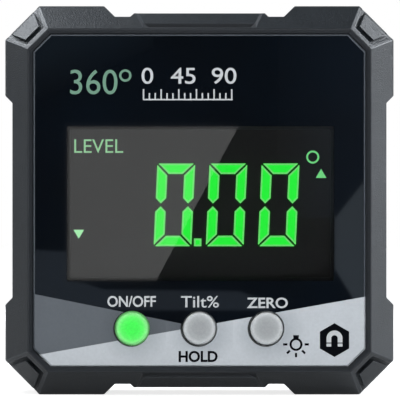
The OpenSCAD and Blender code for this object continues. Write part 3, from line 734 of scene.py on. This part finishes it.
# Header: a plain angle range in green beside a short graduated scale
RANGE_BOX = (-19.9, -12.6, 16.3, 20.1)
RANGE_RING = (-11.4, 19.2, 0.95, 0.35)
SCALE_FIGURES = (("0", -8.9, -7.1), ("45", -4.4, -0.6), ("90", 1.9, 5.7))
SCALE_FOOT = 17.9
SCALE_TOP = 20.4
TICK_LEFT = -8.6
TICK_STEP = 0.905
TICK_COUNT = 16
TICKS_TO_LONG = 3
TICK_FOOT = 15.6
SHORT_TOP = 16.5
LONG_TOP = 17.1
LINE_LEFT = -8.71
LINE_RIGHT = 5.1
LINE_V = 15.5
STROKE = 0.22
lettering("range_figures", "360", RANGE_BOX, green_ink)
print_plate("range_ring", ring(*RANGE_RING), green_ink)
for words, left, right in SCALE_FIGURES:
    lettering("scale_" + words, words, (left, right, SCALE_FOOT, SCALE_TOP), white_ink, weight=0.005)
ticks = []
for i in range(TICK_COUNT):
    x = TICK_LEFT + i * TICK_STEP
    top = SHORT_TOP if i % TICKS_TO_LONG else LONG_TOP
    ticks.append(bar((x, TICK_FOOT), (x, top), STROKE))
print_plate("scale_ticks", ticks, white_ink)
print_plate("scale_line", [bar((LINE_LEFT, LINE_V), (LINE_RIGHT, LINE_V), STROKE)], white_ink)

# Lamp sign: a ring with its cap above and rays below
LAMP = Vector((14.86, -22.16))
LAMP_R = 1.0
LAMP_STROKE = 0.34
LAMP_CAP = ((-0.4, 0.88), (0.4, 0.88), (0.45, 1.42), (-0.45, 1.42))
RAY_START = 1.32
RAY_END = 1.98
print_plate("lamp_ring", ring(*LAMP, LAMP_R, LAMP_STROKE), dark_ink, layer=2)
print_plate("lamp_cap", [[LAMP + Vector(corner) for corner in LAMP_CAP]], dark_ink, layer=2)
rays = []
for angle in range(180, 361, 45):
    turn = Vector((math.cos(math.radians(angle)), math.sin(math.radians(angle))))
    rays.append(bar(LAMP + turn * RAY_START, LAMP + turn * RAY_END, LAMP_STROKE))
print_plate("lamp_rays", rays, dark_ink, layer=2)

# Magnet sign: a white horseshoe with cut tips on a dark hexagon
SIGN = Vector((20.78, -21.5))
SIGN_R = 2.6
BOW = SIGN + Vector((0, 0.25))
BOW_OUTER = 1.23
BOW_INNER = 0.5
LEG_END = 0.62
TIP_START = 0.78
TIP_END = 1.24
print_plate("magnet_field", [circle(*SIGN, SIGN_R, count=6, start=90)], dark_ink, layer=2)
outer = circle(*BOW, BOW_OUTER, BOW_STEPS, start=0, sweep=180)
inner = circle(*BOW, BOW_INNER, BOW_STEPS, start=180, sweep=-180)
horseshoe = [outer + inner]
for side in (-1, 1):
    a, b = BOW.x + side * BOW_INNER, BOW.x + side * BOW_OUTER
    for start, end in ((0.0, LEG_END), (TIP_START, TIP_END)):
        horseshoe.append([(a, BOW.y - start), (b, BOW.y - start), (b, BOW.y - end), (a, BOW.y - end)])
print_plate("magnet_bow", horseshoe, white_ink, layer=3)

# Pale edges of the lit figures, and a dark glow on the glass around them
GLOW_WIDTH = 0.15
RIM_WIDTH = 0.25
figures = welded(NODES["lcd_segments"].data)
figures.normal_update()
glow, rims = [], []
for face in figures.faces:
    if face.normal.y < -FACING and FIGURES_LEFT < face.calc_center_median().x < FIGURES_RIGHT:
        outline = [Vector((vert.co.x, vert.co.z - MID_Z)) / MM for vert in face.verts]
        for width, strips in ((GLOW_WIDTH, glow), (-RIM_WIDTH, rims)):
            moved = grown(outline, width)
            for i in range(len(outline)):
                strips.append([outline[i - 1], outline[i], moved[i], moved[i - 1]])
figures.free()
print_plate("segment_glow", glow, glow_dark, back=GLASS_FRONT)
print_plate("segment_rims", rims, rim_lit, back=SEGMENT_FRONT)

# Lit word on the display
WORD_BOX = (-19.3, -11.75, 7.3, 9.4)
lettering("level_word", "LEVEL", WORD_BOX, pale_lit, back=GLASS_FRONT)

# Studio: pale floor, white surround, soft boxes, and cards that the front mirrors, in metres
FLOOR = 3.0
FLOOR_FRONT = 0.5
FLOOR_GREY = scaled(WHITE, 0.6)
LIFT_START = 0.06
LIFT_END = 0.5
GLOSSY_LIFT = 0.06
AMBIENT = 0.20
FRONT_GLOSS = 0.04
BACK_GLOSS = 0.06


def stage_face(name, corners, material):
    """One flat face of the studio."""
    mesh = bpy.data.meshes.new(name)
    mesh.from_pydata(corners, [], [tuple(range(len(corners)))])
    dress(mesh, material)
    made = in_scene(name, mesh)
    return made


def floor_material():
    """Matt pale floor that keeps the shadow, with a lift for the camera that is weaker near the object."""
    f = Finish("floor")
    light = f.node("ShaderNodeLightPath", {}).outputs
    away = f.node("ShaderNodeVectorMath", {0: f.place}, operation="LENGTH").outputs["Value"]
    level = f.span(away, low=0.78, high=0.89, from_low=LIFT_START, from_high=LIFT_END)
    seen = f.math("MULTIPLY", light["Is Camera Ray"], level)
    lift = f.math("ADD", seen, f.math("MULTIPLY", light["Is Glossy Ray"], GLOSSY_LIFT))
    f.set(Base_Color=FLOOR_GREY, Roughness=0.9, Specular_IOR_Level=0.1)
    f.set(Emission_Color=WHITE, Emission_Strength=lift)
    return f.material


def studio_world():
    """Surround that is white to the camera, dim to what mirrors it, and even for matt colour."""
    world = bpy.data.worlds.new("studio")
    world.use_nodes = True
    w = Wiring(world.node_tree)
    light = w.node("ShaderNodeLightPath", {}).outputs
    _, behind, _ = w.axes(w.node("ShaderNodeTexCoord", {}).outputs["Generated"])
    gloss = w.span(behind, FRONT_GLOSS, BACK_GLOSS, from_low=-0.2, from_high=0.5)
    mirrored = w.math("MAXIMUM", light["Is Glossy Ray"], light["Is Transmission Ray"])
    level = w.mix(mirrored, AMBIENT, gloss, kind="FLOAT")
    seen = w.mix(light["Is Camera Ray"], level, 1.0, kind="FLOAT")
    background = w.tree.nodes["Background"]
    w.feed(WHITE, background.inputs["Color"])
    w.feed(seen, background.inputs["Strength"])
    return world


FLOOR_CORNERS = [(-FLOOR, -FLOOR_FRONT, 0), (FLOOR, -FLOOR_FRONT, 0), (FLOOR, FLOOR, 0), (-FLOOR, FLOOR, 0)]
stage_face("floor", FLOOR_CORNERS, floor_material())
bpy.context.scene.world = studio_world()

TARGET = Vector((0, case_low.y, MID_Z))
COOL = (0.90, 0.945, 1.0)


def soft_box(name, direction, distance, size, power, colour=(1, 1, 1), mirrored=True):
    """Square soft light aimed at the middle of the front; one that isn't mirrored lights only matt colour."""
    lamp = bpy.data.lights.new(name, "AREA")
    lamp.shape = "SQUARE"
    lamp.size = size
    lamp.energy = power
    lamp.color = colour
    made = in_scene(name, lamp)
    made.location = TARGET + Vector(direction).normalized() * distance
    made.rotation_euler = (TARGET - made.location).to_track_quat("-Z", "Y").to_euler()
    made.visible_camera = False
    made.visible_glossy = mirrored
    made.visible_transmission = mirrored


# Each box has its direction from the middle of the front, distance, size and power
FILL_BOXES = [
    ("front_fill", (0.0, -1.0, 0.0), 0.8, 0.6, 6.2),
    ("front_high", (0.0, -1.0, 0.8), 0.8, 0.6, 2.3),
    ("back_fill", (-0.35, 1.0, 0.18), 0.8, 0.3, 4.5)]
for box in FILL_BOXES:
    soft_box(*box, mirrored=False)
SOFT_BOXES = [
    ("upper_right", (0.80, 0.33, 0.52), 0.6, 0.3, 3.2),
    ("right_side", (0.94, 0.33, 0.0), 0.6, 0.3, 0.8),
    ("left_side", (-0.94, 0.33, 0.0), 0.6, 0.3, 0.17),
    ("top_left", (-0.50, 0.36, 0.94), 0.12, 0.05, 0.033),
    ("corner_left", (-0.95, 0.36, 0.94), 0.09, 0.03, 0.025)]
for box in SOFT_BOXES:
    soft_box(*box, colour=COOL)

# Camera square to the front, a little beside its middle
VIEW_W = 61.82 * MM
DISTANCE = 1.0
WIDEST_Y = case_low.y + 5.5 * MM
CAMERA_X = 0.09 * MM
CAMERA_Z = MID_Z + 0.05 * MM
SENSOR = 36.0
NEAREST_SEEN = 0.01
CARD_BEHIND = 0.35
camera_data = bpy.data.cameras.new("camera")
camera_data.sensor_fit = "HORIZONTAL"
camera_data.sensor_width = SENSOR
camera_data.lens = SENSOR * DISTANCE / VIEW_W
camera_data.clip_start = NEAREST_SEEN
camera = in_scene("camera", camera_data)
camera.location = (CAMERA_X, WIDEST_Y - DISTANCE, CAMERA_Z)
camera.rotation_euler = (math.pi / 2, 0, 0)
bpy.context.scene.camera = camera

CARD_Y = camera.location.y - CARD_BEHIND


def mirrored_card(name, colour, outline, fade=None):
    """Glowing card behind the camera, whose mirror image in the front covers an outline given in millimetres.

    A fade of two places lets its light grow from the level of the room at the first to full at the second.
    """
    beyond = (PANEL_FRONT - CARD_Y) / (PANEL_FRONT - camera.location.y)

    def behind_camera(x, v):
        """Place on the card that is mirrored at a place on the panel."""
        spot = on_front(x, v, PANEL_FRONT)
        return Vector((spot.x + (spot.x - camera.location.x) * beyond, CARD_Y,
                       spot.z + (spot.z - camera.location.z) * beyond))

    f = Finish(name)
    glow = (*colour, 1)
    if fade:
        start, end = (behind_camera(*place) for place in fade)
        along = (end - start).normalized()
        reach = f.node("ShaderNodeVectorMath", {0: f.place, 1: along}, operation="DOT_PRODUCT")
        growth = f.share(reach.outputs["Value"], start.dot(along), end.dot(along))
        glow = f.mix(growth, scaled(WHITE, FRONT_GLOSS), glow)
    f.set(Base_Color=BLACK, Emission_Color=glow, Emission_Strength=1.0)
    card = stage_face(name, [behind_camera(*corner) for corner in outline], f.material)
    card.visible_camera = False
    card.visible_diffuse = False
    card.visible_shadow = False


mirrored_card("display_card", (0.78, 0.78, 0.78), [
    (-20.33, -12.33), (-6.64, -12.33), (5.99, 11.33), (-20.33, 11.33)])
mirrored_card("right_card", (0.61, 0.73, 0.84), [
    (20.8, -2.8), (25.6, 3.2), (25.6, -17.0), (24.2, -16.0), (20.8, -10.5)])
mirrored_card("left_card", (0.30, 0.36, 0.44), [
    (-26.0, -7.6), (-20.4, -7.9), (-20.4, -12.5), (-17.8, -12.7), (-14.8, -13.7), (6.2, -14.0),
    (8.7, -14.9), (13.0, -15.9), (11.0, -16.9), (-26.0, -16.9)])
mirrored_card("right_haze", (0.10, 0.13, 0.18), [
    (12.0, 25.8), (25.8, 25.8), (25.8, 3.4), (20.8, -2.7), (12.0, -2.7)],
    fade=[(12.0, 0.0), (25.8, 0.0)])
mirrored_card("corner_haze", (0.11, 0.15, 0.19), [
    (-25.8, 25.8), (-7.0, 25.8), (-7.0, 23.5), (-25.8, 15.0)],
    fade=[(-16.5, 19.2), (-18.95, 24.7)])

bpy.context.scene.view_settings.view_transform = "Standard"
